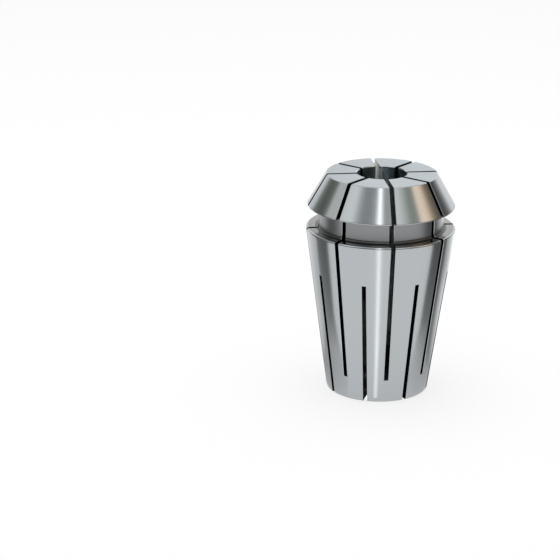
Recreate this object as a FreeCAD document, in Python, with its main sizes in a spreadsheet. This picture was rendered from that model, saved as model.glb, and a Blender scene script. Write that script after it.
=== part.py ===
import FreeCAD, Part
import math
import os

import Sketcher

# A tap collet: one piece of hardened steel, turned, slotted and ground.
# From the rear face upwards it has a slender seat cone, an extraction groove and a head with a
# steep nut cone. A round bore from the front clamps the tap's shank, and a square socket behind it
# drives the tap's square. Saw slots from both ends, staggered, let it close evenly on the shank.
# The frame: rear face on the XY plane, axis along +Z, front face uppermost, in millimetres.

NODE = "collet"

# The driving dimensions: name, value, what it measures. Lengths in millimetres, angles in degrees.
SIZES = (
    ("collet_length", 31.5, "rear face to front face"),
    ("head_diameter", 20.7, "widest point of the head"),
    ("head_height", 4.7, "underside of the head to the front face"),
    ("nut_cone_angle", 30.0, "side of the head against the axis"),
    ("groove_width", 3.05, "extraction groove, along the axis"),
    ("neck_diameter", 17.6, "floor of the extraction groove"),
    ("shoulder_diameter", 21.0, "widest point of the body, at the large end of the seat cone"),
    ("seat_cone_angle", 8.0, "side of the body against the axis"),
    ("shank_diameter", 7.0, "round bore that clamps the tap's shank"),
    ("shank_depth", 18.0, "front face to the end of the round bore"),
    ("drill_point_angle", 118.0, "cone at the end of the round bore"),
    ("square_size", 5.5, "across the flats of the tap's square"),
    ("square_clearance", 0.05, "each flat of the tap to the socket"),
    ("square_corner_radius", 0.3, "corners of the square socket"),
    ("slot_count", 8, "slots from each end"),
    ("slot_width", 0.6, "thickness of the slitting saw"),
    ("saw_diameter", 40.0, "slitting saw, which leaves an arc at each slot's end"),
    ("saw_clearance", 0.3, "deepest point of the saw to the far flat of the socket"),
    ("front_slot_web", 3.35, "rear face to the end of the front slots, on the seat cone"),
    ("rear_slot_web", 5.9, "end of the rear slots to the shoulder, on the seat cone"),
    ("head_rim_radius", 0.15, "rounded edge of the head"),
    ("shoulder_rim_radius", 0.3, "rounded edge of the shoulder"),
    ("groove_root_radius", 0.4, "inner corners of the extraction groove"),
    ("face_chamfer", 0.1, "edge of the front face"),
    ("rear_chamfer", 0.1, "edge of the rear face"),
    ("bore_chamfer", 0.1, "mouth of the round bore"),
)
SIZE = {name: value for name, value, _ in SIZES}

# The same dimensions worked out for the rough drawings and for looking up edges.
LENGTH = SIZE["collet_length"]
RIM = LENGTH - SIZE["head_height"]
SHOULDER = RIM - SIZE["groove_width"]
SEAT_SLOPE = math.tan(math.radians(SIZE["seat_cone_angle"]))
NUT_SLOPE = math.tan(math.radians(SIZE["nut_cone_angle"]))
NECK_RADIUS = SIZE["neck_diameter"] / 2
BORE_RADIUS = SIZE["shank_diameter"] / 2
HALF_SOCKET = SIZE["square_size"] / 2 + SIZE["square_clearance"]


def before_rounding(radius, rounding, cone_angle):
    """Radius of a cone's sharp edge that is radius wide once the edge is rounded."""
    half_corner = math.radians((90 - cone_angle) / 2)
    return radius + rounding * (1 / math.tan(half_corner) - 1)


HEAD_EDGE = before_rounding(
    SIZE["head_diameter"] / 2, SIZE["head_rim_radius"], SIZE["nut_cone_angle"]
)
SHOULDER_EDGE = before_rounding(
    SIZE["shoulder_diameter"] / 2, SIZE["shoulder_rim_radius"], SIZE["seat_cone_angle"]
)
FACE_EDGE = HEAD_EDGE - SIZE["head_height"] * NUT_SLOPE
REAR_EDGE = SHOULDER_EDGE - SHOULDER * SEAT_SLOPE

# What follows from the driving dimensions, as expressions on the sheet.
HEAD_EDGE_RULE = (
    "(sizes.head_diameter / 2"
    " + sizes.head_rim_radius * (1 / tan((90 - sizes.nut_cone_angle) / 2) - 1))"
)
SHOULDER_EDGE_RULE = (
    "(sizes.shoulder_diameter / 2"
    " + sizes.shoulder_rim_radius * (1 / tan((90 - sizes.seat_cone_angle) / 2) - 1))"
)
SHOULDER_HEIGHT = "(sizes.collet_length - sizes.head_height - sizes.groove_width)"
SOCKET_SIZE = "(sizes.square_size + 2 * sizes.square_clearance)"
SAW_RADIUS = "(sizes.saw_diameter / 2)"
HALF_PITCH = "(180 / sizes.slot_count)"

# Points of a sketch's geometry, and the sketch's origin.
START, END, CENTRE = range(1, 4)
ORIGIN = (-1, START)

# Two lengths closer than this are the same when an edge is looked up.
MATCH = 1e-4


def make_sheet(doc):
    """The spreadsheet of driving dimensions, one named cell each."""
    sheet = doc.addObject("Spreadsheet::Sheet", "sizes")
    for row, (name, value, note) in enumerate(SIZES, start=1):
        sheet.set(f"A{row}", name)
        sheet.set(f"B{row}", str(value))
        sheet.set(f"C{row}", note)
        sheet.setAlias(f"B{row}", name)
    doc.recompute()
    return sheet


def new_sketch(body, name, plane):
    """An empty sketch on one of the body's origin planes."""
    sketch = body.newObject("Sketcher::SketchObject", name)
    support = next(part for part in body.Origin.OriginFeatures if part.Role == plane)
    sketch.AttachmentSupport = [(support, "")]
    sketch.MapMode = "FlatFace"
    return sketch


def draw_polygon(sketch, points):
    """Closed outline of straight lines, joined end to end. Gives the lines' numbers."""
    corners = [FreeCAD.Vector(x, y, 0) for x, y in points]
    lines = [
        sketch.addGeometry(Part.LineSegment(a, b))
        for a, b in zip(corners, corners[1:] + corners[:1])
    ]
    for a, b in zip(lines, lines[1:] + lines[:1]):
        sketch.addConstraint(Sketcher.Constraint("Coincident", a, END, b, START))
    return lines


def dimension(sketch, kind, places, value, expression):
    """A dimension that the sheet drives. value is what the rough drawing has now."""
    number = sketch.addConstraint(Sketcher.Constraint(kind, *places, value))
    sketch.setExpression(f"Constraints[{number}]", expression)


def across(sketch, first, second, expression):
    """Horizontal distance from the first point to the second, which lies to its right."""
    value = sketch.getPoint(*second).x - sketch.getPoint(*first).x
    dimension(sketch, "DistanceX", (*first, *second), value, expression)


def up(sketch, first, second, expression):
    """Vertical distance from the first point to the second, which lies above it."""
    value = sketch.getPoint(*second).y - sketch.getPoint(*first).y
    dimension(sketch, "DistanceY", (*first, *second), value, expression)


def slope(sketch, line, expression):
    """Angle of a line, from its start to its end, against the horizontal."""
    step = sketch.getPoint(line, END) - sketch.getPoint(line, START)
    dimension(sketch, "Angle", (line,), math.atan2(step.y, step.x), expression)


def rounds(feature, radius, height):
    """Names of the feature's circular edges of one radius at one height."""
    names = []
    for number, edge in enumerate(feature.Shape.Edges, start=1):
        curve = edge.Curve
        if not isinstance(curve, Part.Circle):
            continue
        if abs(curve.Radius - radius) < MATCH and abs(curve.Center.z - height) < MATCH:
            names.append(f"Edge{number}")
    if not names:
        raise ValueError(f"{feature.Label} has no edge of radius {radius} at height {height}")
    return names


def square_corners(feature, half_width):
    """Names of the feature's upright edges at the corners of a square centred on the axis."""
    names = []
    for number, edge in enumerate(feature.Shape.Edges, start=1):
        box = edge.BoundBox
        upright = box.XLength < MATCH and box.YLength < MATCH
        if upright and all(abs(abs(place) - half_width) < MATCH for place in (box.XMin, box.YMin)):
            names.append(f"Edge{number}")
    if not names:
        raise ValueError(f"{feature.Label} has no upright edges {half_width} from the axis")
    return names


def dress(body, kind, name, base, edges, size, expression):
    """A fillet or chamfer on some of a feature's edges."""
    feature = body.newObject(f"PartDesign::{kind}", name)
    feature.Base = (base, edges)
    feature.setExpression(size, expression)
    body.Document.recompute()
    return feature


def turn_outline(body):
    """The turned blank: half its outline, revolved about the axis."""
    sketch = new_sketch(body, "outline", "XZ_Plane")
    rear, seat, ledge, neck, underside, nut_cone, face, axis = draw_polygon(
        sketch,
        [
            (0, 0),
            (REAR_EDGE, 0),
            (SHOULDER_EDGE, SHOULDER),
            (NECK_RADIUS, SHOULDER),
            (NECK_RADIUS, RIM),
            (HEAD_EDGE, RIM),
            (FACE_EDGE, LENGTH),
            (0, LENGTH),
        ],
    )
    for line in (rear, ledge, underside, face):
        sketch.addConstraint(Sketcher.Constraint("Horizontal", line))
    for line in (neck, axis):
        sketch.addConstraint(Sketcher.Constraint("Vertical", line))
    sketch.addConstraint(Sketcher.Constraint("Coincident", rear, START, *ORIGIN))
    up(sketch, ORIGIN, (face, END), "sizes.collet_length")
    up(sketch, (nut_cone, START), (nut_cone, END), "sizes.head_height")
    up(sketch, (neck, START), (neck, END), "sizes.groove_width")
    across(sketch, ORIGIN, (nut_cone, START), HEAD_EDGE_RULE)
    across(sketch, ORIGIN, (neck, START), "sizes.neck_diameter / 2")
    across(sketch, ORIGIN, (seat, END), SHOULDER_EDGE_RULE)
    slope(sketch, seat, "90 - sizes.seat_cone_angle")
    slope(sketch, nut_cone, "90 + sizes.nut_cone_angle")

    blank = body.newObject("PartDesign::Revolution", "blank")
    blank.Profile = sketch
    blank.ReferenceAxis = (sketch, ["V_Axis"])
    blank.Angle = 360
    body.Document.recompute()
    return blank


def drill_bore(body):
    """The round bore for the tap's shank, drilled from the front face."""
    sketch = new_sketch(body, "bore_centre", "XY_Plane")
    sketch.setExpression("AttachmentOffset.Base.z", "sizes.collet_length")
    circle = Part.Circle(FreeCAD.Vector(0, 0, 0), FreeCAD.Vector(0, 0, 1), BORE_RADIUS)
    ring = sketch.addGeometry(circle)
    sketch.addConstraint(Sketcher.Constraint("Coincident", ring, CENTRE, *ORIGIN))
    dimension(sketch, "Radius", (ring,), BORE_RADIUS, "sizes.shank_diameter / 2")
    body.Document.recompute()

    bore = body.newObject("PartDesign::Hole", "shank_bore")
    bore.Profile = sketch
    body.Document.recompute()
    bore.DepthType = "Dimension"
    bore.DrillPoint = "Angled"
    bore.setExpression("Diameter", "sizes.shank_diameter")
    bore.setExpression("Depth", "sizes.shank_depth")
    bore.setExpression("DrillPointAngle", "sizes.drill_point_angle")
    body.Document.recompute()
    return bore


def broach_socket(body):
    """The square socket for the tap's square, from the rear face up to the round bore."""
    sketch = new_sketch(body, "socket_outline", "XY_Plane")
    near, right, far, left = draw_polygon(
        sketch,
        [
            (-HALF_SOCKET, -HALF_SOCKET),
            (HALF_SOCKET, -HALF_SOCKET),
            (HALF_SOCKET, HALF_SOCKET),
            (-HALF_SOCKET, HALF_SOCKET),
        ],
    )
    for line in (near, far):
        sketch.addConstraint(Sketcher.Constraint("Horizontal", line))
    for line in (right, left):
        sketch.addConstraint(Sketcher.Constraint("Vertical", line))
    diagonal = (near, START, right, END, *ORIGIN)
    sketch.addConstraint(Sketcher.Constraint("Symmetric", *diagonal))
    across(sketch, (near, START), (near, END), SOCKET_SIZE)
    up(sketch, (right, START), (right, END), SOCKET_SIZE)

    socket = body.newObject("PartDesign::Pocket", "square_socket")
    socket.Profile = sketch
    socket.Reversed = True
    socket.setExpression("Length", "sizes.collet_length - sizes.shank_depth")
    body.Document.recompute()
    return socket


def draw_saw_path(body, name, opens_up):
    """What one pass of the slitting saw clears: its disc, fed along the axis from beyond one face.

    The saw reaches past the axis, and stops where its edge meets the seat cone at the slot's end.
    """
    saw = SIZE["saw_diameter"] / 2
    reach = HALF_SOCKET - SIZE["saw_clearance"]
    centre_radius = saw - reach
    if opens_up:
        way, begin, slot_end = 1, LENGTH + saw, SIZE["front_slot_web"]
    else:
        way, begin, slot_end = -1, -saw, SHOULDER - SIZE["rear_slot_web"]
    end_radius = SHOULDER_EDGE - (SHOULDER - slot_end) * SEAT_SLOPE
    stop = slot_end + way * math.sqrt(saw**2 - (centre_radius - end_radius) ** 2)

    sketch = new_sketch(body, name, "XZ_Plane")
    centre = FreeCAD.Vector(centre_radius, stop, 0)
    disc = Part.Circle(centre, FreeCAD.Vector(0, 0, 1), saw)
    if opens_up:
        quarter = Part.ArcOfCircle(disc, math.pi, 1.5 * math.pi)
        deep, wide = START, END
    else:
        quarter = Part.ArcOfCircle(disc, 0.5 * math.pi, math.pi)
        deep, wide = END, START
    arc = sketch.addGeometry(quarter)
    deep_corner = FreeCAD.Vector(-reach, begin, 0)
    wide_corner = FreeCAD.Vector(centre_radius, begin, 0)
    deep_line = sketch.addGeometry(Part.LineSegment(deep_corner, sketch.getPoint(arc, deep)))
    wide_line = sketch.addGeometry(Part.LineSegment(sketch.getPoint(arc, wide), wide_corner))
    begin_line = sketch.addGeometry(Part.LineSegment(wide_corner, deep_corner))
    cone_top = FreeCAD.Vector(SHOULDER_EDGE, SHOULDER, 0)
    cone_foot = FreeCAD.Vector(end_radius, slot_end, 0)
    cone_side = sketch.addGeometry(Part.LineSegment(cone_foot, cone_top), True)

    for rule in (
        ("Tangent", deep_line, END, arc, deep),
        ("Coincident", arc, wide, wide_line, START),
        ("Coincident", wide_line, END, begin_line, START),
        ("Coincident", begin_line, END, deep_line, START),
        ("Vertical", deep_line),
        ("Vertical", wide_line),
        ("Vertical", arc, CENTRE, arc, wide),
        ("Horizontal", begin_line),
        ("PointOnObject", cone_side, START, arc),
    ):
        sketch.addConstraint(Sketcher.Constraint(*rule))
    dimension(sketch, "Radius", (arc,), saw, SAW_RADIUS)
    across(sketch, (deep_line, START), ORIGIN, f"{SOCKET_SIZE} / 2 - sizes.saw_clearance")
    across(sketch, ORIGIN, (cone_side, END), SHOULDER_EDGE_RULE)
    up(sketch, ORIGIN, (cone_side, END), SHOULDER_HEIGHT)
    slope(sketch, cone_side, "90 - sizes.seat_cone_angle")
    if opens_up:
        up(sketch, ORIGIN, (cone_side, START), "sizes.front_slot_web")
        up(sketch, ORIGIN, (begin_line, START), f"sizes.collet_length + {SAW_RADIUS}")
    else:
        up(sketch, (cone_side, START), (cone_side, END), "sizes.rear_slot_web")
        up(sketch, (begin_line, START), ORIGIN, SAW_RADIUS)
    return sketch


def saw_slots(body, name, opens_up, turned):
    """A ring of slots from one end, each one pass of the saw. turned staggers them by half a pitch."""
    sketch = draw_saw_path(body, f"{name}_path", opens_up)
    if turned:
        sketch.AttachmentOffset = FreeCAD.Placement(
            FreeCAD.Vector(0, 0, 0), FreeCAD.Rotation(FreeCAD.Vector(0, 1, 0), 1)
        )
        sketch.setExpression("AttachmentOffset.Rotation.Angle", HALF_PITCH)

    cut = body.newObject("PartDesign::Pocket", name)
    cut.Profile = sketch
    cut.SideType = "Symmetric"
    cut.setExpression("Length", "sizes.slot_width")
    body.Document.recompute()

    ring = body.newObject("PartDesign::PolarPattern", f"{name}_ring")
    ring.Originals = [cut]
    ring.Axis = (sketch, ["V_Axis"])
    ring.Angle = 360
    ring.setExpression("Occurrences", "sizes.slot_count")
    body.Tip = ring
    body.Document.recompute()
    return cut, ring


def make_collet(doc):
    """The collet, as one body. Gives the body and pairs of features, before and after each cut."""
    body = doc.addObject("PartDesign::Body", NODE)
    body.Label = NODE
    blank = turn_outline(body)
    rim = rounds(blank, HEAD_EDGE, RIM)
    rimmed = dress(body, "Fillet", "head_rim", blank, rim, "Radius", "sizes.head_rim_radius")
    brim = rounds(rimmed, SHOULDER_EDGE, SHOULDER)
    brimmed = dress(
        body, "Fillet", "shoulder_rim", rimmed, brim, "Radius", "sizes.shoulder_rim_radius"
    )
    roots = rounds(brimmed, NECK_RADIUS, RIM) + rounds(brimmed, NECK_RADIUS, SHOULDER)
    rooted = dress(
        body, "Fillet", "groove_roots", brimmed, roots, "Radius", "sizes.groove_root_radius"
    )
    face_edge = rounds(rooted, FACE_EDGE, LENGTH)
    faced = dress(body, "Chamfer", "face_edge", rooted, face_edge, "Size", "sizes.face_chamfer")
    rear_edge = rounds(faced, REAR_EDGE, 0)
    broken = dress(body, "Chamfer", "rear_edge", faced, rear_edge, "Size", "sizes.rear_chamfer")

    bore = drill_bore(body)
    mouth_edge = rounds(bore, BORE_RADIUS, LENGTH)
    mouth = dress(body, "Chamfer", "bore_mouth", bore, mouth_edge, "Size", "sizes.bore_chamfer")
    socket = broach_socket(body)
    corners = square_corners(socket, HALF_SOCKET)
    eased = dress(
        body, "Fillet", "socket_corners", socket, corners, "Radius", "sizes.square_corner_radius"
    )
    front_cut, front_ring = saw_slots(body, "front_slot", opens_up=True, turned=True)
    rear_cut, rear_ring = saw_slots(body, "rear_slot", opens_up=False, turned=False)
    cuts = [
        (blank, rimmed),
        (rimmed, brimmed),
        (rooted, faced),
        (faced, broken),
        (broken, bore),
        (bore, mouth),
        (mouth, socket),
        (eased, front_cut),
        (front_cut, front_ring),
        (front_ring, rear_cut),
        (rear_cut, rear_ring),
    ]
    return body, cuts


def check_model(doc, body, cuts):
    """Stops the script if a feature failed, a cut took nothing away, or the collet isn't one solid."""
    for item in doc.Objects:
        if {"Invalid", "Error"} & set(item.State):
            raise ValueError(f"{item.Label} failed: {item.State}")
    for before, after in cuts:
        if not after.Shape.Volume < before.Shape.Volume:
            raise ValueError(f"{after.Label} took no material away")
    shape = body.Shape
    if shape.isNull() or not shape.isValid() or len(shape.Solids) != 1:
        raise ValueError(f"{body.Label} is not one valid solid")


def main():
    doc = FreeCAD.newDocument("tap_collet")
    make_sheet(doc)
    body, cuts = make_collet(doc)
    check_model(doc, body, cuts)
    os.makedirs("parts", exist_ok=True)
    body.Shape.exportStep(os.path.join("parts", f"{NODE}.step"))
    box = body.Shape.optimalBoundingBox()
    print(f"{NODE}: {box.XLength:.2f} x {box.YLength:.2f} x {box.ZLength:.2f} mm,"
          f" {body.Shape.Volume:.1f} mm3, {len(body.Shape.Faces)} faces")


main()
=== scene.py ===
import math

import bmesh
import bpy
from mathutils import Matrix, Vector


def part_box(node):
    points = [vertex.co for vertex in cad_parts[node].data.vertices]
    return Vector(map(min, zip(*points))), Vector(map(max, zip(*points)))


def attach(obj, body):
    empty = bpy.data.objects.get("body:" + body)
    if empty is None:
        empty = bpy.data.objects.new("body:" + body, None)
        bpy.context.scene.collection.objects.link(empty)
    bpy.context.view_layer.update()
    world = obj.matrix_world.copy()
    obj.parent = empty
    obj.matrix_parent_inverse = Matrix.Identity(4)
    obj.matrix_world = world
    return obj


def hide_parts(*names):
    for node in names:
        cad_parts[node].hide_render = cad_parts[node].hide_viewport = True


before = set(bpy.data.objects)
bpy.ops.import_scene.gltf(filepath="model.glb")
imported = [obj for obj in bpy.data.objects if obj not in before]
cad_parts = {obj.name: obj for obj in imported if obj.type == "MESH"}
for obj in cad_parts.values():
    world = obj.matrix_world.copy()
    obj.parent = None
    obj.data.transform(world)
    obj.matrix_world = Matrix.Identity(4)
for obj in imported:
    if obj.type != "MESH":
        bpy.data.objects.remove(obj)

# A tap collet of hardened, ground steel, alone on a pale studio floor.
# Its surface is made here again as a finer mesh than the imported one, with the saw slots' edges
# broken as on the real part, so that reflections run smoothly over the cones. The mesh is worked
# out in millimetres, in the frame's axes: rear face at height 0, axis along +Z.

NODE = "collet"
MM = 0.001
bpy.context.view_layer.update()
LOW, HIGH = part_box(NODE)

# Sizes that follow from the frame.
LENGTH = (HIGH.z - LOW.z) / MM
WIDEST = (HIGH.x - LOW.x) / MM / 2

# The part's own driving sizes, in millimetres and degrees.
HEAD_RADIUS = 10.35
HEAD_HEIGHT = 4.7
NUT_CONE_ANGLE = 30.0
GROOVE_WIDTH = 3.05
NECK_RADIUS = 8.8
SEAT_CONE_ANGLE = 8.0
SHANK_RADIUS = 3.5
SHANK_DEPTH = 18.0
DRILL_POINT_ANGLE = 118.0
SOCKET_HALF = 2.8
SOCKET_CORNER = 0.3
SLOT_COUNT = 8
SLOT_WIDTH = 0.6
SAW_RADIUS = 20.0
SAW_CLEARANCE = 0.3
FRONT_SLOT_WEB = 3.35
REAR_SLOT_WEB = 5.9
HEAD_RIM_ROUND = 0.15
SHOULDER_RIM_ROUND = 0.3
FACE_CHAMFER = 0.1
EDGE_ROUND = 0.02
GROOVE_ROOT_ROUND = 0.4
REAR_CHAMFER = 0.1
BORE_CHAMFER = 0.1

# Fine points of the finished surface: how far the slots' edges are broken, and how finely curves
# are divided. Cutters reach past the surface by OVERSHOOT, and those of the edges by SKIN.
EDGE_BREAK = 0.05
TURNS = 360
ROUND_STEPS = 6
SAW_STEPS = 48
OVERSHOOT = 0.5
SKIN = 0.02
MITRE_LIMIT = 0.5
SHARP_ANGLE = 20.0
SAME_POINT = 0.00001

# Heights and radii that the sizes give.
RIM = LENGTH - HEAD_HEIGHT
SHOULDER = RIM - GROOVE_WIDTH
BORE_END = LENGTH - SHANK_DEPTH
SEAT_SLOPE = math.tan(math.radians(SEAT_CONE_ANGLE))
NUT_SLOPE = math.tan(math.radians(NUT_CONE_ANGLE))


def before_rounding(radius, rounding, cone_angle):
    """Radius of a cone's sharp edge that is radius wide once the edge is rounded."""
    half_corner = math.radians((90 - cone_angle) / 2)
    return radius + rounding * (1 / math.tan(half_corner) - 1)


HEAD_EDGE = before_rounding(HEAD_RADIUS, HEAD_RIM_ROUND, NUT_CONE_ANGLE)
SHOULDER_EDGE = before_rounding(WIDEST, SHOULDER_RIM_ROUND, SEAT_CONE_ANGLE)
FACE_EDGE = HEAD_EDGE - HEAD_HEIGHT * NUT_SLOPE
REAR_EDGE = SHOULDER_EDGE - SHOULDER * SEAT_SLOPE

# How each surface was made; the darker colours of the groove's surfaces, its root roundings and the
# saw slots are painted shade. A rounding has the finish of its two sides that comes first here.
GROUND, FACE, BORED, LEDGE, TURNED, SHADED_ROOT, BROACHED, SAWN = range(8)

# The corners of the half outline from the rear face round to the bore's end: radius, height, how
# far the corner is rounded, and the finish of the surface that follows it.
OUTLINE = (
    (REAR_EDGE - REAR_CHAMFER, 0.0, EDGE_ROUND, GROUND),
    (REAR_EDGE + REAR_CHAMFER * SEAT_SLOPE, REAR_CHAMFER, EDGE_ROUND, GROUND),
    (SHOULDER_EDGE, SHOULDER, SHOULDER_RIM_ROUND, LEDGE),
    (NECK_RADIUS, SHOULDER, GROOVE_ROOT_ROUND, TURNED),
    (NECK_RADIUS, RIM, GROOVE_ROOT_ROUND, TURNED),
    (HEAD_EDGE, RIM, HEAD_RIM_ROUND, GROUND),
    (FACE_EDGE + FACE_CHAMFER * math.sin(math.radians(NUT_CONE_ANGLE)),
     LENGTH - FACE_CHAMFER * math.cos(math.radians(NUT_CONE_ANGLE)), 0.0, GROUND),
    (FACE_EDGE - FACE_CHAMFER, LENGTH, 0.0, FACE),
    (SHANK_RADIUS + BORE_CHAMFER, LENGTH, EDGE_ROUND, BORED),
    (SHANK_RADIUS, LENGTH - BORE_CHAMFER, EDGE_ROUND, BORED),
    (SHANK_RADIUS, BORE_END, 0.0, BORED),
)


def round_corner(before, corner, after, radius):
    """The points of a corner's rounding, from the line before it to the line after it."""
    if radius == 0:
        return [corner]
    back = (before - corner).normalized()
    ahead = (after - corner).normalized()
    half = back.angle(ahead) / 2
    centre = corner + (back + ahead).normalized() * radius / math.sin(half)
    start = corner + back * radius / math.tan(half) - centre
    end = corner + ahead * radius / math.tan(half) - centre
    turn = math.copysign(math.pi - 2 * half, start.cross(end))
    steps = [turn * step / ROUND_STEPS for step in range(ROUND_STEPS + 1)]
    return [centre + Matrix.Rotation(step, 2) @ start for step in steps]


def outline_points():
    """The half outline with its roundings: 2-D points of radius and height, and the finish of what
    follows each. The roundings in the groove's roots get a near-black colour of their own, which is
    painted shade in those corners."""
    corners = [Vector((radius, height)) for radius, height, _, _ in OUTLINE]
    ends = [Vector((0.0, 0.0))] + corners + [Vector((0.0, BORE_END))]
    points, finishes = [], []
    before = FACE
    for index, (_, _, rounding, finish) in enumerate(OUTLINE, start=1):
        corner = round_corner(ends[index - 1], ends[index], ends[index + 1], rounding)
        points += corner
        rounded = SHADED_ROOT if rounding == GROOVE_ROOT_ROUND else min(before, finish)
        finishes += [rounded] * (len(corner) - 1) + [finish]
        before = finish
    return points, finishes


def mesh_object(name, vertices, faces, *materials):
    """A new object with a mesh of these points, faces and materials."""
    mesh = bpy.data.meshes.new(name)
    mesh.from_pydata(vertices, [], faces)
    for material in materials:
        mesh.materials.append(material)
    piece = bpy.data.objects.new(name, mesh)
    bpy.context.scene.collection.objects.link(piece)
    return piece


def steel_solid(name, vertices, faces, finishes):
    """A closed solid with its normals facing out. finishes holds the finish of each face."""
    solid = mesh_object(name, vertices, faces, *STEELS)
    solid.data.polygons.foreach_set("material_index", finishes)
    sheet = bmesh.new()
    sheet.from_mesh(solid.data)
    bmesh.ops.recalc_face_normals(sheet, faces=sheet.faces)
    sheet.to_mesh(solid.data)
    sheet.free()
    return solid


def turned_blank():
    """The collet before it is slotted: the outline turned about the axis, with the bore's end."""
    tip = BORE_END - SHANK_RADIUS / math.tan(math.radians(DRILL_POINT_ANGLE / 2))
    profile, finishes = outline_points()
    vertices = [(0, 0, 0), (0, 0, tip)]
    for turn in range(TURNS):
        angle = 2 * math.pi * (turn + 0.5) / TURNS
        vertices += [(p.x * math.cos(angle), p.x * math.sin(angle), p.y) for p in profile]
    rings = len(profile)
    faces, each = [], []
    for turn in range(TURNS):
        here = 2 + turn * rings
        there = 2 + (turn + 1) % TURNS * rings
        faces.append((0, here, there))
        faces.append((1, there + rings - 1, here + rings - 1))
        each += [FACE, BORED]
        for step in range(rings - 1):
            faces.append((here + step, here + step + 1, there + step + 1, there + step))
            each.append(finishes[step])
    return steel_solid("blank", vertices, faces, each)


def loft(name, sections, finish):
    """A closed solid through sections of as many points each, capped at both ends."""
    size = len(sections[0])
    vertices = [point for section in sections for point in section]
    faces = [tuple(range(size)), tuple(range(len(vertices) - size, len(vertices)))]
    for first in range(0, len(vertices) - size, size):
        for side in range(size):
            after = (side + 1) % size
            faces.append((first + side, first + after, first + size + after, first + size + side))
    return steel_solid(name, vertices, faces, [finish] * len(faces))


def square_socket():
    """What the square socket takes out, from behind the rear face up to the bore."""
    half = SOCKET_HALF
    corners = [Vector((x, y)) for x, y in ((half, -half), (half, half), (-half, half), (-half, -half))]
    ring = []
    for index, corner in enumerate(corners):
        after = corners[(index + 1) % len(corners)]
        ring += round_corner(corners[index - 1], corner, after, SOCKET_CORNER)
    sections = [[(p.x, p.y, height) for p in ring] for height in (-OVERSHOOT, BORE_END)]
    return loft("socket", sections, BROACHED)


def saw_stop(web_height, way):
    """Height of the saw's centre where its edge meets the seat cone at web_height."""
    cone_radius = SHOULDER_EDGE - (SHOULDER - web_height) * SEAT_SLOPE
    centre_radius = SAW_RADIUS - SOCKET_HALF + SAW_CLEARANCE
    return web_height + way * math.sqrt(SAW_RADIUS**2 - (centre_radius - cone_radius) ** 2)


def saw_path(stop, way):
    """One side of the saw's cut in its own plane: how far out and how high, with the saw's arc."""
    centre = SAW_RADIUS - SOCKET_HALF + SAW_CLEARANCE
    reach = centre - SAW_RADIUS
    widest = WIDEST + OVERSHOOT
    swing = math.acos((centre - widest) / SAW_RADIUS)
    arc = []
    for step in range(SAW_STEPS + 1):
        angle = swing * step / SAW_STEPS
        across = centre - SAW_RADIUS * math.cos(angle)
        arc.append((across, stop - way * SAW_RADIUS * math.sin(angle)))
    end = LENGTH + OVERSHOOT if way > 0 else -OVERSHOOT
    return [(reach, end)] + arc + [(widest, end)]


def in_plane(angle, across, side, height):
    """A point at a distance out from the axis in the plane at an angle, and to one side of it."""
    cos, sin = math.cos(angle), math.sin(angle)
    return (across * cos - side * sin, across * sin + side * cos, height)


def saw_cut(name, angle, web_height, way):
    """What one pass of the slitting saw takes out. way is 1 from the front, -1 from the rear."""
    path = saw_path(saw_stop(web_height, way), way)
    sections = [
        [in_plane(angle, across, side, height) for across, height in path]
        for side in (-SLOT_WIDTH / 2, SLOT_WIDTH / 2)
    ]
    return loft(name, sections, SAWN)


def edge_break(name, angle, route):
    """What breaking a slot's edges takes out along a route over the surface: a shallow V."""
    sections = []
    for index, here in enumerate(route):
        before = route[max(index - 1, 0)]
        after = route[min(index + 1, len(route) - 1)]
        into = (here - before).normalized() if index else (after - here).normalized()
        out_of = (after - here).normalized() if index + 1 < len(route) else into
        along = (into + out_of).normalized()
        outward = Vector((along.y, -along.x)) / max(along.dot(into), MITRE_LIMIT)
        top = here + outward * SKIN
        if index == 0:
            top = top - along * (EDGE_BREAK + SKIN)
        floor = here - outward * EDGE_BREAK
        wide = SLOT_WIDTH / 2 + EDGE_BREAK + SKIN
        narrow = SLOT_WIDTH / 2
        sections.append(
            [
                in_plane(angle, top.x, -wide, top.y),
                in_plane(angle, top.x, wide, top.y),
                in_plane(angle, floor.x, narrow, floor.y),
                in_plane(angle, floor.x, -narrow, floor.y),
            ]
        )
    return loft(name, sections, GROUND)


def cone_point(height):
    """The seat cone's outline at a height."""
    return Vector((SHOULDER_EDGE - (SHOULDER - height) * SEAT_SLOPE, height))


def front_route():
    """Over the surface from a front slot's end, by groove, head and face, down into the bore."""
    route = [cone_point(FRONT_SLOT_WEB)]
    route += [point for point in outline_points()[0] if point.y > FRONT_SLOT_WEB][:-1]
    return route + [Vector((SHANK_RADIUS, BORE_END + OVERSHOOT))]


def rear_route():
    """Over the surface from a rear slot's end down to the rear face and in to the socket."""
    web_height = SHOULDER - REAR_SLOT_WEB
    lower = [point for point in outline_points()[0] if point.y < 2 * REAR_CHAMFER]
    return [cone_point(web_height)] + lower[::-1] + [Vector((SOCKET_HALF, 0.0))]


def applied(piece):
    """The mesh that the piece's modifiers give. The piece itself is deleted."""
    shown = bpy.context.evaluated_depsgraph_get()
    mesh = bpy.data.meshes.new_from_object(piece.evaluated_get(shown))
    bpy.data.objects.remove(piece)
    return mesh


def cut_away(piece, cutters):
    """The mesh that is left when the cutters are taken out of the piece."""
    group = bpy.data.collections.new("cutters")
    for cutter in cutters:
        group.objects.link(cutter)
    cut = piece.modifiers.new("cut", "BOOLEAN")
    cut.operation = "DIFFERENCE"
    cut.solver = "MANIFOLD"
    cut.operand_type = "COLLECTION"
    cut.collection = group
    mesh = applied(piece)
    for cutter in cutters:
        bpy.data.objects.remove(cutter)
    bpy.data.collections.remove(group)
    return mesh


def merge_points(mesh):
    """Joins the points of the mesh that the cuts have left on one spot."""
    sheet = bmesh.new()
    sheet.from_mesh(mesh)
    bmesh.ops.remove_doubles(sheet, verts=sheet.verts, dist=SAME_POINT)
    sheet.to_mesh(mesh)
    sheet.free()


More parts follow.
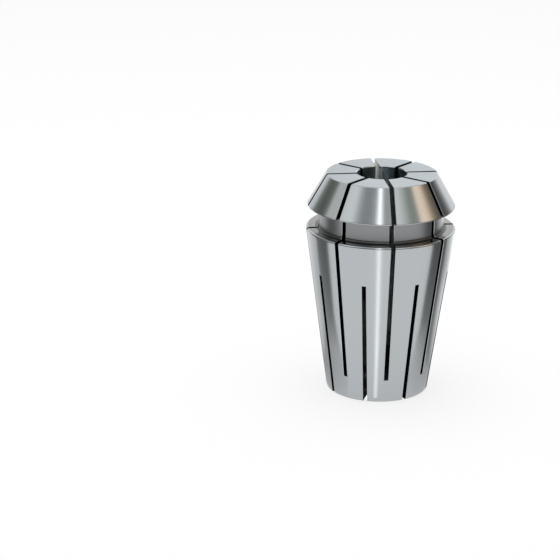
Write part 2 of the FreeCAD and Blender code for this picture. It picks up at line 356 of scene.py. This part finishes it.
def make_collet():
    """The collet's finished surface as one mesh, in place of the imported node."""
    cutters = [square_socket()]
    pitch = 2 * math.pi / SLOT_COUNT
    for count in range(SLOT_COUNT):
        rear, front = count * pitch, (count + 0.5) * pitch
        cutters.append(saw_cut(f"rear_saw_{count}", rear, SHOULDER - REAR_SLOT_WEB, -1))
        cutters.append(saw_cut(f"front_saw_{count}", front, FRONT_SLOT_WEB, 1))
        cutters.append(edge_break(f"front_edge_{count}", front, front_route()))
        cutters.append(edge_break(f"rear_edge_{count}", rear, rear_route()))
    mesh = cut_away(turned_blank(), cutters)
    merge_points(mesh)
    mesh.transform(Matrix.Scale(MM, 4))
    mesh.polygons.foreach_set("use_smooth", [True] * len(mesh.polygons))
    mesh.set_sharp_from_angle(angle=math.radians(SHARP_ANGLE))
    shaded = bpy.data.objects.new("shaded", mesh)
    bpy.context.scene.collection.objects.link(shaded)
    evened = shaded.modifiers.new("evened", "WEIGHTED_NORMAL")
    evened.keep_sharp = True
    mesh = applied(shaded)
    mesh.name = "collet_surface"
    piece = bpy.data.objects.new("collet_surface", mesh)
    bpy.context.scene.collection.objects.link(piece)
    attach(piece, "root")
    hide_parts(NODE)
    return piece


# Each finish: name, colour, roughness, how far the tool's marks draw a highlight out across them,
# and how deep those marks are, in millimetres.
FINISHES = {
    GROUND: ("ground_steel", (0.465, 0.488, 0.502), 0.16, 0.4, 0.0001),
    FACE: ("ground_face_steel", (0.415, 0.46, 0.49), 0.25, 0.3, 0.0001),
    BORED: ("ground_bore_steel", (0.6, 0.67, 0.7), 0.24, 0.0, 0.0001),
    # The ledge at the groove's foot: turned like the neck, with a dark colour that is painted shade.
    LEDGE: ("turned_ledge_steel", (0.25, 0.25, 0.255), 0.12, 0.0, 0.0001),
    # The neck and the head's underside in the groove: the turned marks and roughness are real; their
    # colour, darker than the ground steel's, is painted shade of the groove.
    TURNED: ("turned_steel", (0.26, 0.265, 0.27), 0.3, 0.5, 0.0003),
    # The groove's root roundings: a near-black colour that is painted shade in these corners.
    SHADED_ROOT: ("dark_root_steel", (0.11, 0.11, 0.11), 0.35, 0.3, 0.0003),
    BROACHED: ("broached_steel", (0.2, 0.2, 0.2), 0.45, 0.0, 0.001),
    # The saw slots' walls: a near-black colour that is painted shade inside the narrow slots.
    SAWN: ("sawn_steel", (0.1, 0.105, 0.11), 0.26, 0.0, 0.002),
}
ROUGHNESS_SPREAD = 0.02
COLOUR_SPREAD = 0.03
# The tool's marks per metre along and across them, and how far their lay leans on a flat face.
MARKS_ALONG = 150.0
MARKS_ACROSS = 25000.0
MARKS_SLANT = 0.7
MARKS_DETAIL = 2.0


def add_node(tree, kind, settings=None, **inputs):
    """A shader node with its settings. Each input, by name or as i and its number, is set to a
    value or linked from a socket."""
    made = tree.nodes.new(kind)
    for key, value in (settings or {}).items():
        setattr(made, key, value)
    for key, value in inputs.items():
        numbered = key.startswith("i") and key[1:].isdigit()
        socket = made.inputs[int(key[1:])] if numbered else made.inputs[key.replace("_", " ")]
        if isinstance(value, bpy.types.NodeSocket):
            tree.links.new(value, socket)
        else:
            socket.default_value = value
    return made


def maths(tree, operation, *values):
    """What a Math node gives for these values or sockets."""
    inputs = {f"i{index}": value for index, value in enumerate(values)}
    return add_node(tree, "ShaderNodeMath", {"operation": operation}, **inputs).outputs[0]


def tool_marks(tree, straight):
    """Fine marks of the tool, along the axis or round it."""
    place = add_node(tree, "ShaderNodeTexCoord").outputs["Object"]
    x, y, z = add_node(tree, "ShaderNodeSeparateXYZ", Vector=place).outputs
    if straight:
        parts = ((x, MARKS_ACROSS), (y, MARKS_ACROSS), (z, MARKS_ALONG))
    else:
        squares = [maths(tree, "MULTIPLY", side, side) for side in (x, y)]
        radius = maths(tree, "SQRT", maths(tree, "ADD", *squares))
        lay = maths(tree, "MULTIPLY_ADD", radius, MARKS_SLANT, z)
        parts = ((x, MARKS_ALONG), (y, MARKS_ALONG), (lay, MARKS_ACROSS))
    scaled = {axis: maths(tree, "MULTIPLY", *part) for axis, part in zip("XYZ", parts)}
    vector = add_node(tree, "ShaderNodeCombineXYZ", **scaled).outputs[0]
    noise = add_node(tree, "ShaderNodeTexNoise", Vector=vector, Scale=1.0, Detail=MARKS_DETAIL)
    return noise.outputs["Fac"]


def make_finish(finish):
    """The material of one finish."""
    name, colour, roughness, stretch, depth = FINISHES[finish]
    material = bpy.data.materials.new(name)
    material.use_nodes = True
    tree = material.node_tree
    shader = tree.nodes["Principled BSDF"]
    shader.inputs["Metallic"].default_value = 1
    shader.inputs["Anisotropic"].default_value = stretch
    marks = tool_marks(tree, finish in (BROACHED, SAWN))
    rough = add_node(
        tree,
        "ShaderNodeMapRange",
        Value=marks,
        To_Min=roughness - ROUGHNESS_SPREAD,
        To_Max=roughness + ROUGHNESS_SPREAD,
    ).outputs[0]
    ends = [[channel * (1 + side * COLOUR_SPREAD) for channel in colour] + [1] for side in (-1, 1)]
    mixed = add_node(tree, "ShaderNodeMix", {"data_type": "RGBA"}, i0=marks, i6=ends[0], i7=ends[1])
    bump = add_node(tree, "ShaderNodeBump", Height=marks, Distance=depth * MM).outputs[0]
    tree.links.new(rough, shader.inputs["Roughness"])
    tree.links.new(mixed.outputs["Result"], shader.inputs["Base Color"])
    tree.links.new(bump, shader.inputs["Normal"])
    if stretch:
        tangent = add_node(tree, "ShaderNodeTangent", {"direction_type": "RADIAL", "axis": "Z"})
        tree.links.new(tangent.outputs[0], shader.inputs["Tangent"])
    return material


# The photograph's view: its size and the place of the axis's middle in it, in pixels, the scale
# there, and the camera's angles and distance.
PICTURE = 560
MIDDLE_AT = (379.25, 279.7)
PIXELS_PER_METRE = 7050
AZIMUTH = 12.4
ELEVATION = 18.3
ROLL = 1.5
DISTANCE = 0.3
SENSOR = 36.0
CLIP_NEAR = 0.03
CLIP_FAR = 30.0


def make_camera():
    """The camera at the photograph's angle, aimed so that the collet falls at its place there."""
    azimuth, elevation, roll = (math.radians(angle) for angle in (AZIMUTH, ELEVATION, ROLL))
    middle = Vector((0, 0, LENGTH * MM / 2))
    flat = Vector((math.sin(azimuth), -math.cos(azimuth), 0))
    back = flat * math.cos(elevation) + Vector((0, 0, math.sin(elevation)))
    right = Vector((math.cos(azimuth), math.sin(azimuth), 0))
    up = back.cross(right)
    frame_right = right * math.cos(roll) + up * math.sin(roll)
    frame_up = up * math.cos(roll) - right * math.sin(roll)
    across = (MIDDLE_AT[0] - PICTURE / 2) / PIXELS_PER_METRE
    above = (PICTURE / 2 - MIDDLE_AT[1]) / PIXELS_PER_METRE
    place = middle + back * DISTANCE
    away = (place - middle + frame_right * across + frame_up * above).normalized()
    side = (frame_right - away * frame_right.dot(away)).normalized()
    turn = Matrix((side, away.cross(side), away)).transposed().to_4x4()

    lens = bpy.data.cameras.new("camera")
    lens.sensor_width = SENSOR
    lens.lens = PIXELS_PER_METRE * DISTANCE / PICTURE * SENSOR
    lens.clip_start = CLIP_NEAR
    lens.clip_end = CLIP_FAR
    camera = bpy.data.objects.new("camera", lens)
    camera.matrix_world = Matrix.Translation(place) @ turn
    bpy.context.scene.collection.objects.link(camera)
    bpy.context.scene.camera = camera


# The studio round the collet. Angles are in degrees round the axis from the camera's side, to the
# right. The bands are what stands and hangs there above the floor, as the steel shows it: white
# sheets, grey gaps between them and a narrow lamp beside the camera. Each has its angle and colour.
BANDS = (
    (-180, 0.9, 0.9, 0.9),
    (-150, 0.9, 0.92, 0.92),
    (-136, 0.8, 0.82, 0.84),
    (-127, 0.2, 0.21, 0.17),
    (-102, 0.18, 0.19, 0.15),
    (-97, 0.78, 0.79, 0.77),
    (-84, 0.7, 0.7, 0.68),
    (-66, 1.0, 1.01, 1.01),
    (-52, 1.05, 1.06, 1.06),
    (-44, 0.62, 0.64, 0.65),
    (-34, 0.36, 0.37, 0.38),
    (-20, 0.36, 0.37, 0.38),
    (-8, 0.5, 0.51, 0.52),
    (-6, 0.6, 0.6, 0.6),
    (-5, 3.0, 3.0, 3.0),
    (1, 3.0, 3.0, 3.0),
    (2, 0.45, 0.46, 0.46),
    (14, 0.4, 0.41, 0.42),
    (32, 1.05, 1.05, 1.04),
    (46, 0.66, 0.68, 0.64),
    (56, 0.33, 0.36, 0.32),
    (68, 0.33, 0.36, 0.32),
    (73, 1.4, 1.15, 0.95),
    (86, 1.25, 0.98, 0.72),
    (96, 0.38, 0.29, 0.2),
    (104, 0.18, 0.15, 0.11),
    (124, 0.1, 0.1, 0.09),
    (134, 0.4, 0.4, 0.4),
    (142, 1.0, 1.0, 1.0),
)
# The bands' colours are kept as shares of BRIGHTEST_BAND, and lit by BAND_LIGHT.
BRIGHTEST_BAND = 5.0
BAND_LIGHT = 5.4
SKY_LIGHT = 0.8

# The floor: its sizes and its place under the rear face in millimetres, its colour, and the share
# of plain white in what the camera and the steel see of it.
FLOOR_HOLE = 6.4
FLOOR_REACH = 4000.0
FLOOR_DROP = 0.01
FLOOR_COLOUR = 0.86
FLOOR_WHITE = 0.75

# Cards that only the steel sees. Those over the floor have an edge or fold at each of the rings,
# in millimetres from the axis. It lies between two angles, and has a brightness at each of them.
CARD_RINGS = (7.4, 12.0, 18.0, 28.0, 38.0, 50.0, 90.0, 140.0)
CARD_HEIGHT = 0.1
# Their brightness is painted shade and light on the floor as the steel shows it: lower close to the
# collet as its painted shadow, and brighter or darker patches further out.
FLOOR_CARDS = {
    "floor_left": (
        (-170, -120, 0.35, 0.42),
        (-170, -120, 0.45, 0.42),
        (-168, -112, 0.85, 0.62),
        (-162, -108, 0.88, 0.8),
        (-162, -110, 0.9, 0.75),
        (-162, -112, 0.97, 0.77),
        (-165, -112, 1.3, 1.0),
        (-165, -113, 1.3, 1.0),
    ),
    "shade_left": (
        (-120, -36, 0.42, 0.85),
        (-120, -46, 0.42, 0.8),
        (-112, -64, 0.5, 0.7),
        (-108, -79, 0.45, 0.23),
        (-110, -82, 0.32, 0.16),
        (-112, -84, 0.26, 0.11),
        (-112, -81, 0.08, 0.05),
        (-113, -80, 0.08, 0.05),
    ),
    "shade_right": (
        (40, 112, 0.85, 0.5),
        (46, 112, 0.82, 0.5),
        (62, 110, 0.8, 0.25),
        (76, 116, 0.25, 0.3),
        (80, 119, 0.15, 0.24),
        (84, 121, 0.11, 0.18),
        (81, 121, 0.05, 0.07),
        (80, 122, 0.05, 0.07),
    ),
    "floor_right": (
        (112, 170, 0.5, 0.95),
        (112, 170, 0.5, 1.0),
        (110, 162, 0.48, 1.25),
        (116, 162, 0.58, 1.45),
        (119, 162, 0.62, 1.5),
        (121, 162, 0.53, 1.15),
        (121, 162, 1.0, 2.2),
        (122, 162, 1.0, 2.2),
    ),
}

# A bright strip on the floor towards the camera: its distances from the axis with the brightness
# at each, its height, and the angles of its sides.
STRIP = ((8.0, 1.4), (20.0, 2.05), (60.0, 2.05))
STRIP_HEIGHT = 0.11
STRIP_SIDES = (-3.5, 1.2)

# A low grey wall round the front: its distance, the heights of its edges, how far it reaches to
# each side, and its brightness.
WALL_DISTANCE = 150.0
WALL_HEIGHTS = (5.0, 80.0)
WALL_REACH = 116
WALL_LEVEL = 0.15

# Dark cards under the socket and under each rear slot are painted shade of the floor beneath the
# collet. A slot's card has two ends, each with its distance from the axis and how far it reaches to
# each side.
UNDER_SLOT = ((SOCKET_HALF, 7), (7.1, 3))
UNDER_SOCKET = (0.01, SOCKET_HALF)
UNDER_HEIGHT = -0.005
UNDER_LEVEL = 0.02
CARD_STEPS = 12

# The lamp: its sizes, and its angle, distance from the axis and height, in degrees and metres.
LAMP_SIZE = (0.3, 0.3)
LAMP_PLACE = (200.0, 0.05, 0.35)
LAMP_WATTS = 0.6


def around(degrees):
    """The level direction at an angle from the camera's side."""
    angle = math.radians(AZIMUTH + degrees)
    return Vector((math.sin(angle), -math.cos(angle), 0))


def grey(level):
    """The colour grey of a brightness, without a tint."""
    return (level, level, level, 1)


def make_world():
    """White for the camera, the studio's bands for the steel, and an even light on the floor."""
    world = bpy.data.worlds.new("studio")
    world.use_nodes = True
    tree = world.node_tree
    place = add_node(tree, "ShaderNodeTexCoord").outputs["Generated"]
    turn_back = -math.radians(AZIMUTH)
    settings = {"rotation_type": "Z_AXIS"}
    turned = add_node(tree, "ShaderNodeVectorRotate", settings, Vector=place, Angle=turn_back)
    x, y, _ = add_node(tree, "ShaderNodeSeparateXYZ", Vector=turned.outputs[0]).outputs
    angle = maths(tree, "ARCTAN2", x, maths(tree, "MULTIPLY", y, -1.0))
    share = maths(tree, "MULTIPLY_ADD", angle, 0.5 / math.pi, 0.5)
    ramp = add_node(tree, "ShaderNodeValToRGB", Fac=share)
    stops = ramp.color_ramp.elements
    stops.remove(stops[-1])
    for index, (degrees, *colour) in enumerate(BANDS):
        position = (degrees + 180) / 360
        stop = stops.new(position) if index else stops[0]
        stop.color = [channel / BRIGHTEST_BAND for channel in colour] + [1]
    path = add_node(tree, "ShaderNodeLightPath").outputs
    settings = {"operation": "SCALE"}
    lit = add_node(tree, "ShaderNodeVectorMath", settings, Vector=ramp.outputs[0], Scale=BAND_LIGHT)
    seen = maths(tree, "MAXIMUM", path["Is Camera Ray"], path["Is Transmission Ray"])
    settings = {"data_type": "RGBA"}
    plain = add_node(tree, "ShaderNodeMix", settings, i0=seen, i6=grey(SKY_LIGHT), i7=grey(1.0))
    bare, bands = plain.outputs["Result"], lit.outputs[0]
    shown = add_node(tree, "ShaderNodeMix", settings, i0=path["Is Glossy Ray"], i6=bare, i7=bands)
    tree.links.new(shown.outputs["Result"], tree.nodes["Background"].inputs["Color"])
    bpy.context.scene.world = world


def stage_material(name):
    """A new material for the stage, with only its output. Gives it and its nodes."""
    material = bpy.data.materials.new(name)
    material.use_nodes = True
    tree = material.node_tree
    tree.nodes.remove(tree.nodes["Principled BSDF"])
    return material, tree


def make_floor():
    """The pale floor, open under the collet's rear face and see-through from below."""
    radii = (FLOOR_HOLE * MM, FLOOR_REACH * MM)
    angles = [2 * math.pi * turn / TURNS for turn in range(TURNS)]
    height = -FLOOR_DROP * MM
    vertices = [(r * math.cos(a), r * math.sin(a), height) for r in radii for a in angles]
    faces = []
    for turn in range(TURNS):
        after = (turn + 1) % TURNS
        faces.append((turn, turn + TURNS, after + TURNS, after))
    material, tree = stage_material("floor")
    matt = add_node(tree, "ShaderNodeBsdfDiffuse", Color=grey(FLOOR_COLOUR)).outputs[0]
    white = add_node(tree, "ShaderNodeEmission", Color=grey(1.0), Strength=1.0).outputs[0]
    path = add_node(tree, "ShaderNodeLightPath").outputs
    seen = maths(tree, "MAXIMUM", path["Is Camera Ray"], path["Is Transmission Ray"])
    seen = maths(tree, "MAXIMUM", seen, path["Is Glossy Ray"])
    share = maths(tree, "MULTIPLY", seen, FLOOR_WHITE)
    lit = add_node(tree, "ShaderNodeMixShader", i0=share, i1=matt, i2=white).outputs[0]
    clear = add_node(tree, "ShaderNodeBsdfTransparent").outputs[0]
    behind = add_node(tree, "ShaderNodeNewGeometry").outputs["Backfacing"]
    shown = add_node(tree, "ShaderNodeMixShader", i0=behind, i1=lit, i2=clear).outputs[0]
    tree.links.new(shown, tree.nodes["Material Output"].inputs["Surface"])
    mesh_object("floor", vertices, faces, material)


def card_stations():
    """Each card's edges and folds, by its name: distance from the axis, height, the angles between
    which it lies there, and its brightness at the first and at the last of them."""
    cards = {}
    for name, rows in FLOOR_CARDS.items():
        cards[name] = [(ring, CARD_HEIGHT, *row) for ring, row in zip(CARD_RINGS, rows)]
    cards["strip"] = [(out, STRIP_HEIGHT, *STRIP_SIDES, level, level) for out, level in STRIP]
    wall = (-WALL_REACH, WALL_REACH, WALL_LEVEL, WALL_LEVEL)
    cards["front_shade"] = [(WALL_DISTANCE, height, *wall) for height in WALL_HEIGHTS]
    dark = (UNDER_LEVEL, UNDER_LEVEL)
    cards["under_socket"] = [(out, UNDER_HEIGHT, -180, 180, *dark) for out in UNDER_SOCKET]
    for slot in range(SLOT_COUNT):
        turn = 360 / SLOT_COUNT * slot - AZIMUTH
        cards[f"under_slot_{slot}"] = [
            (out, UNDER_HEIGHT, turn - reach, turn + reach, *dark) for out, reach in UNDER_SLOT
        ]
    return cards


def make_card(name, stations):
    """A card that only the steel sees, through its edges and folds."""
    material, tree = stage_material(name)
    level = add_node(tree, "ShaderNodeAttribute", {"attribute_name": "level"}).outputs["Fac"]
    shade = add_node(tree, "ShaderNodeEmission", Color=grey(1.0), Strength=level).outputs[0]
    tree.links.new(shade, tree.nodes["Material Output"].inputs["Surface"])
    vertices, levels = [], []
    for step in range(CARD_STEPS + 1):
        share = step / CARD_STEPS
        for distance, height, first, last, first_level, last_level in stations:
            way = around(first + (last - first) * share)
            vertices.append((way * distance + Vector((0, 0, height))) * MM)
            levels.append(first_level + (last_level - first_level) * share)
    rows = len(stations)
    faces = []
    for step in range(CARD_STEPS):
        for row in range(step * rows, step * rows + rows - 1):
            faces.append((row, row + rows, row + rows + 1, row + 1))
    card = mesh_object(name, vertices, faces, material)
    card.data.attributes.new("level", "FLOAT", "POINT").data.foreach_set("value", levels)
    for ray in ("camera", "diffuse", "shadow", "transmission", "volume_scatter"):
        setattr(card, f"visible_{ray}", False)


def make_lamp():
    """The large soft lamp above the collet and a little behind it."""
    lamp = bpy.data.lights.new("softbox", "AREA")
    lamp.shape = "RECTANGLE"
    lamp.size, lamp.size_y = LAMP_SIZE
    lamp.energy = LAMP_WATTS
    turn, out, height = LAMP_PLACE
    place = around(turn) * out + Vector((0, 0, height))
    softbox = bpy.data.objects.new("softbox", lamp)
    facing = place.to_track_quat("Z", "Y").to_matrix().to_4x4()
    softbox.matrix_world = Matrix.Translation(place) @ facing
    softbox.visible_camera = False
    softbox.visible_glossy = False
    bpy.context.scene.collection.objects.link(softbox)


STEELS = [make_finish(finish) for finish in FINISHES]
make_collet()
make_camera()
make_world()
make_floor()
for card in card_stations().items():
    make_card(*card)
make_lamp()
bpy.context.scene.view_settings.view_transform = "Standard"
